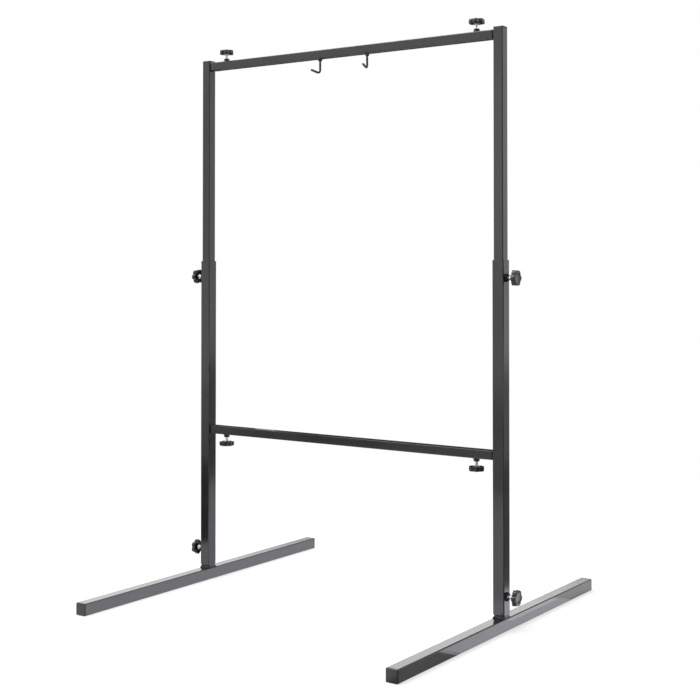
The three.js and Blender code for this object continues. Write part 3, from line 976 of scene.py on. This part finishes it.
def hexagon_nut(name, across_flats, height, hole):
    """A nut on the XY plane: corners turned off at the top, edges eased, a countersunk hole."""
    flat = across_flats / 2
    corner = flat / math.cos(math.pi / 6)
    nothing_selected()
    bpy.ops.mesh.primitive_cylinder_add(vertices=6, radius=corner, depth=height, location=(0, 0, height / 2))
    nut = new_piece(name)
    shoulder = height - NUT_CHAMFER_SHARE * (corner - flat)
    outside = corner * NUT_BLANK_SHARE
    blank = turned("nut_blank", [(0, 0), (outside, 0), (outside, shoulder), (flat * NUT_FACE_SHARE, height),
                                 (0, height)], steps=48)
    apply_modifier(nut, "BOOLEAN", object=blank, operation="INTERSECT", solver="EXACT")
    drop(blank)
    sunk = hole + NUT_SINK
    tool = turned("countersink", [(0, -MM), (hole, -MM), (hole, height - NUT_SINK), (sunk, height),
                                  (sunk, height + MM), (0, height + MM)], steps=32)
    apply_modifier(nut, "BOOLEAN", object=tool, operation="DIFFERENCE", solver="EXACT")
    drop(tool)
    apply_modifier(nut, "BEVEL", width=NUT_EDGE_EASE, segments=3, limit_method="ANGLE",
                   angle_limit=math.radians(28))
    return nut


# Welds, laid lump by lump

def weld_bead(name, path, radius, seed, uneven=0.1):
    """A bead or a heap of weld: overlapping round lumps, one at each place of a path, fused to one skin."""
    draws = random.Random(seed)
    nothing_selected()
    bpy.ops.mesh.primitive_ico_sphere_add(subdivisions=2, radius=radius, location=path[0])
    bead = new_piece(name)
    edit(bead)
    for place in path[1:]:
        size = radius * draws.uniform(1 - uneven, 1 + uneven)
        bpy.ops.mesh.primitive_ico_sphere_add(subdivisions=2, radius=size, location=place)
    leave_edit()
    apply_modifier(bead, "REMESH", mode="VOXEL", voxel_size=WELD_GRAIN, use_smooth_shade=True)
    apply_modifier(bead, "SMOOTH", factor=0.5, iterations=WELD_SMOOTHING)
    return bead


def ring_path(radius, height, pitch):
    count = round(WHOLE_TURN * radius / pitch)
    turns = [WHOLE_TURN * n / count for n in range(count)]
    return [(radius * math.cos(turn), radius * math.sin(turn), height) for turn in turns]


def square_path(half, corner, height, pitch):
    """Places round a square with round corners, in the XY plane, at about the given pitch."""
    flat = 2 * (half - corner)
    bend = corner * QUARTER
    whole = 4 * (flat + bend)
    count = round(whole / pitch)
    places = []
    for n in range(count):
        way = n * whole / count
        quarter = int(way // (flat + bend))
        way -= quarter * (flat + bend)
        if way < flat:
            spot = Vector((half, way - flat / 2, height))
        else:
            angle = (way - flat) / corner
            out = half - corner + corner * math.cos(angle)
            spot = Vector((out, flat / 2 + corner * math.sin(angle), height))
        turn = quarter * QUARTER
        places.append((spot.x * math.cos(turn) - spot.y * math.sin(turn),
                       spot.x * math.sin(turn) + spot.y * math.cos(turn), height))
    return places


def tack_path():
    """Places of the two heaps of weld that hold a nut above and below, two rows high."""
    places = []
    for sign in SIDES.values():
        for out, level, along in TACK_ROWS:
            places += [(sign * out, y, level) for y in along]
    return places


# The clamps: nut, screw and knob, made once and set at their eight places

def knob_insert():
    """The bright ring in a knob's hub, seen round the screw."""
    outline = [(INSERT_BORE_RADIUS, -INSERT_PROUD), (INSERT_RADIUS - INSERT_EASE, -INSERT_PROUD),
               (INSERT_RADIUS, INSERT_EASE - INSERT_PROUD), (INSERT_RADIUS, INSERT_DEPTH),
               (INSERT_BORE_RADIUS, INSERT_DEPTH), (INSERT_BORE_RADIUS, -INSERT_PROUD)]
    insert = turned("insert_pattern", outline, steps=40)
    smooth(insert, degrees=30)
    return insert


def clamps():
    nut = hexagon_nut("nut_pattern", NUT_ACROSS_FLATS, NUT_HEIGHT, SCREW_RADIUS + NUT_PLAY)
    smooth(nut)
    ring = ring_path(NUT_BEAD_RING, NUT_BEAD_LEVEL, NUT_BEAD_PITCH)
    weld = weld_bead("nut_weld_pattern", ring, NUT_BEAD_RADIUS, seed=11)
    tack = weld_bead("nut_tack_pattern", tack_path(), TACK_RADIUS, seed=5, uneven=0.25)
    knob = star_knob()
    smooth(knob, degrees=40, flats=False)
    insert = knob_insert()
    for clamp in UPRIGHT_CLAMPS + BAR_CLAMPS:
        low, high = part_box(f"{clamp}_screw_right")
        place, way, _ = clamp_place(clamp, "right")
        reach = sorted(((low - place).dot(way), (high - place).dot(way)))
        screw = clamp_screw(*reach)
        smooth(screw, degrees=30, flats=False)
        for side, sign in SIDES.items():
            nut_node = f"{clamp}_nut_{side}"
            screw_node = f"{clamp}_screw_{side}"
            knob_node = f"{clamp}_knob_{side}"
            place, way, tilt = clamp_place(clamp, side)
            nut_place = place + way * SEATING_GAP
            knob_place = place + way * KNOB_STANDOFF
            turn = KNOB_TURN[clamp][side]
            bead_turn = NUT_BEAD_TURN * sign
            stands_for(copy_of(nut, nut_node + "_made", 0, tilt, nut_place), nut_node, POWDER)
            goes_with(copy_of(weld, f"{clamp}_nut_weld_{side}", bead_turn, tilt, place), nut_node, POWDER)
            if clamp in UPRIGHT_CLAMPS:
                # The tack welds are darkened as painted shade
                goes_with(copy_of(tack, f"{clamp}_nut_tack_{side}", 0, tilt, place), nut_node, SHADED_WELD_COAT)
            stands_for(copy_of(screw, screw_node + "_made", 0, tilt, place), screw_node, ZINC)
            stands_for(copy_of(knob, knob_node + "_made", turn, tilt, knob_place), knob_node, KNOB_PLASTIC)
            goes_with(copy_of(insert, f"{clamp}_knob_insert_{side}", turn, tilt, knob_place), knob_node, ZINC)
        drop(screw)
    for pattern in (nut, weld, tack, knob, insert):
        drop(pattern)


clamps()


# Moulded plugs in the tubes' ends

def extrude_to(half, now, rise=0):
    """Carries the picked end on by a rise along Z and scales it about Z from one half width to another."""
    extrude_by((0, 0, rise))
    bpy.ops.transform.resize(value=(half / now, half / now, 1), center_override=(0, 0, 0))
    return half


def tube_plug(name, width, corner, plate, wall, depth):
    """A moulded plug along +Z: a pillowed plate from the tube's end out, and a finned shell into the tube."""
    flat = plate - PLUG_CROWN
    nothing_selected()
    bpy.ops.mesh.primitive_cube_add(size=1, location=(0, 0, flat / 2), scale=(width, width, flat))
    plug = new_piece(name)
    edit(plug)
    pick("EDGE", lambda edge: runs_along(edge, Z_AXIS))
    bpy.ops.mesh.bevel(offset=corner, segments=TUBE_CORNER_STEPS, affect="EDGES")
    pick("FACE", lambda face: faces_along(face, Z_AXIS))
    bpy.ops.mesh.bevel(offset=PLUG_PLATE_SHARE * plate, segments=4, affect="EDGES")
    pick("FACE", lambda face: faces_along(face, Z_AXIS))
    now = PLUG_PILLOW_START
    for rise, share in PLUG_PILLOW_SHARES:
        now = extrude_to(share, now, rise * PLUG_CROWN)
    pick("FACE", lambda face: faces_along(face, -Z_AXIS))
    bpy.ops.mesh.bevel(offset=PLUG_EASE, segments=2, affect="EDGES")
    pick("FACE", lambda face: faces_along(face, -Z_AXIS))
    core = width / 2 - wall - PLUG_CORE_PLAY
    fin = width / 2 - wall - PLUG_FIN_PLAY
    now = extrude_to(core, width / 2 - PLUG_EASE)
    pitch = (depth - PLUG_TAIL) / PLUG_FINS
    for _ in range(PLUG_FINS):
        now = extrude_to(core, now, PLUG_FIN_FLAT + PLUG_FIN_SLOPE - pitch)
        now = extrude_to(fin, now)
        now = extrude_to(fin, now, -PLUG_FIN_FLAT)
        now = extrude_to(core, now, -PLUG_FIN_SLOPE)
    now = extrude_to(PLUG_TAIL_SHARE * core, now, -PLUG_TAIL)
    now = extrude_to(core - PLUG_SHELL, now)
    extrude_to(now, now, depth - PLUG_ROOF)
    leave_edit()
    smooth(plug)
    return plug


def foot_plugs():
    low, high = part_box("foot_cap_front_left")
    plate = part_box("foot_tube_left")[0].y - low.y
    plug = tube_plug("foot_plug_pattern", high.x - low.x, TUBE_CORNER["foot"], plate, TUBE_WALL["foot"],
                     high.y - low.y - plate)
    for side in SIDES:
        low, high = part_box(f"foot_tube_{side}")
        centre = (low + high) / 2
        for end, tilt, y in (("front", QUARTER, low.y), ("rear", -QUARTER, high.y)):
            cap = f"foot_cap_{end}_{side}"
            made = copy_of(plug, cap + "_made", 0, (tilt, 0, 0), (centre.x, y, centre.z))
            stands_for(made, cap, CAP_PLASTIC)
    drop(plug)


def upright_plugs():
    low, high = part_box("upright_cap_left")
    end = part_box("upper_upright_left")[1].z
    plate = high.z - end
    plug = tube_plug("top_plug_pattern", high.x - low.x, TUBE_CORNER["inner"], plate, TUBE_WALL["inner"],
                     end - low.z)
    for side in SIDES:
        low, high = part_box(f"upper_upright_{side}")
        cap = f"upright_cap_{side}"
        made = copy_of(plug, cap + "_made", 0, UNTILTED, ((low.x + high.x) / 2, 0, high.z))
        stands_for(made, cap, CAP_PLASTIC)
    drop(plug)


foot_plugs()
upright_plugs()


# Welded necks and seats round the stubs

def cheek_path(half, height):
    """Places in rows, one row over another, on the two cheeks of a neck that face along X."""
    count = round(2 * CHEEK_REACH / CHEEK_PITCH)
    places = []
    for sign in SIDES.values():
        for row in range(CHEEK_ROWS):
            level = height * (row + 0.5) / CHEEK_ROWS
            shift = CHEEK_PITCH / (4 if row % 2 else -4)
            places += [(sign * half, (n / count - 0.5) * 2 * CHEEK_REACH + shift, level)
                       for n in range(count + 1)]
    return places


def fillet_path(half):
    """Places of the heavy fillets between a stub and its foot, on the two sides that face along Y."""
    places = []
    for sign in SIDES.values():
        for out, level, reach, count in FILLET_ROWS:
            places += [((n / (count - 1) - 0.5) * 2 * reach, sign * (half + out), level)
                       for n in range(count)]
    return places


def necks():
    low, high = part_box("foot_neck_left")
    size = high - low
    across = size.x / 2
    along = size.y / 2
    half = along - NECK_INSET
    collar = square_tube("neck_pattern", 2 * half, half - NECK_BORE, NECK_CORNER, size.z)
    smooth(collar)
    cheeks = weld_bead("neck_cheek_pattern", cheek_path(across - CHEEK_IN, size.z), CHEEK_RADIUS, seed=61)
    ring = square_path(along + NECK_BEAD_OUT, NECK_BEAD_CORNER, NECK_BEAD_LEVEL, NECK_BEAD_PITCH)
    bead = weld_bead("neck_weld_pattern", ring, NECK_BEAD_RADIUS, seed=23, uneven=0.25)
    fillets = weld_bead("neck_fillet_pattern", fillet_path(along), FILLET_RADIUS, seed=31, uneven=0.3)
    for side in SIDES:
        neck = f"foot_neck_{side}"
        low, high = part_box(neck)
        place = ((low.x + high.x) / 2, 0, low.z)
        turn = 0 if side == "left" else 2 * QUARTER
        # The collar and its bead and fillets are darkened as painted shade
        stands_for(copy_of(collar, neck + "_made", turn, UNTILTED, place), neck, SHADED_WELD_COAT)
        for pattern, ending, coat in ((cheeks, "_cheeks", POWDER), (bead, "_weld", SHADED_WELD_COAT),
                                      (fillets, "_fillets", SHADED_WELD_COAT)):
            goes_with(copy_of(pattern, neck + ending, turn, UNTILTED, place), neck, coat)
    for pattern in (collar, cheeks, bead, fillets):
        drop(pattern)


def seats():
    low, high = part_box("lower_bar_seat_left")
    radius = (high.x - low.x) / 2
    ring = square_path((high.y - low.y) / 2 - SEAT_IN, SEAT_CORNER, radius, SEAT_PITCH)
    seat = weld_bead("seat_pattern", ring, radius, seed=47)
    for bar in BARS:
        for side, sign in SIDES.items():
            node_name = f"{bar}_seat_{side}"
            low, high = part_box(node_name)
            place = (high.x if side == "right" else low.x, 0, (low.z + high.z) / 2)
            turn = 0 if bar == "top_bar" else QUARTER
            made = copy_of(seat, node_name + "_made", turn, (0, -sign * QUARTER, 0), place)
            # The seat welds are darkened as painted shade
            stands_for(made, node_name, SHADED_WELD_COAT)
    drop(seat)


necks()
seats()


# Gong hooks: one bent wire with a threaded shank, a lock nut under the bar and a nut inside it

def hook_wire():
    """The wire from the end of its thread down, round the bend and up the arm to a rounded tip.

    The bar's underside is at height 0.
    """
    nothing_selected()
    bpy.ops.mesh.primitive_circle_add(vertices=24, radius=HOOK_WIRE_RADIUS, fill_type="NGON",
                                      location=(0, 0, HOOK_THREAD_END))
    hook = new_piece("hook_pattern")
    edit(hook)
    pick_all()
    bend_z = HOOK_BEND - HOOK_DROP
    extrude_by((0, 0, bend_z - HOOK_THREAD_END))
    slope = math.atan2(HOOK_RISE, HOOK_REACH - HOOK_BEND)
    bpy.ops.mesh.spin(steps=18, angle=QUARTER + slope, center=(HOOK_BEND, 0, bend_z), axis=(0, 1, 0))
    arm = Vector((math.cos(slope), 0, math.sin(slope)))
    start = Vector((HOOK_BEND + HOOK_BEND * math.sin(slope), 0, bend_z - HOOK_BEND * math.cos(slope)))
    dome = HOOK_WIRE_RADIUS * HOOK_TIP_SHARE
    length = (HOOK_REACH - start.x) / arm.x - dome
    extrude_by(arm * length)
    round_tip(start + arm * length, arm, dome)
    leave_edit()
    close_up(hook)
    return hook


def round_tip(centre, way, dome):
    """Carries the picked end of a wire on over a dome, in steps that grow smaller."""
    angles = [QUARTER * step / HOOK_TIP_WHOLE_STEPS for step in range(HOOK_TIP_STEPS + 1)]
    for before, angle in zip(angles, angles[1:]):
        out = way * dome * (math.sin(angle) - math.sin(before))
        extrude_by(out)
        centre = centre + out
        share = math.cos(angle) / math.cos(before)
        bpy.ops.transform.resize(value=(share,) * 3, center_override=centre)


def hooks():
    hook = hook_wire()
    smooth(hook, degrees=40, flats=False)
    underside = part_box("top_bar")[0].z
    thread_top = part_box("hook_right")[1].z - underside - HOOK_THREAD_SHORT
    thread = threaded_rod("hook_thread_pattern", HOOK_WIRE_RADIUS, HOOK_THREAD_DEPTH, HOOK_THREAD_PITCH,
                          HOOK_THREAD_END, thread_top)
    smooth(thread, degrees=30, flats=False)
    low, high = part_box("hook_lock_nut_left")
    nut = hexagon_nut("hook_nut_pattern", HOOK_NUT_ACROSS_FLATS, high.z - low.z,
                      HOOK_WIRE_RADIUS + HOOK_NUT_PLAY)
    smooth(nut)
    for side, sign in SIDES.items():
        hook_node = f"hook_{side}"
        under_node = f"hook_lock_nut_{side}"
        inner_node = f"hook_inner_nut_{side}"
        place = Vector((sign * HOOK_OUT, 0, underside))
        under = place - Z_AXIS * SEATING_GAP
        inside = place + Z_AXIS * HOOK_INNER_NUT_RISE
        turn = HOOK_TURN[side]
        stands_for(copy_of(hook, hook_node + "_made", turn, UNTILTED, place), hook_node, HOOK_STEEL)
        goes_with(copy_of(thread, f"hook_thread_{side}", turn, UNTILTED, place), hook_node, HOOK_STEEL)
        under_nut = copy_of(nut, under_node + "_made", -turn, (2 * QUARTER, 0, 0), under)
        stands_for(under_nut, under_node, HOOK_STEEL)
        stands_for(copy_of(nut, inner_node + "_made", turn, UNTILTED, inside), inner_node, ZINC)
    for pattern in (hook, thread, nut):
        drop(pattern)


hooks()
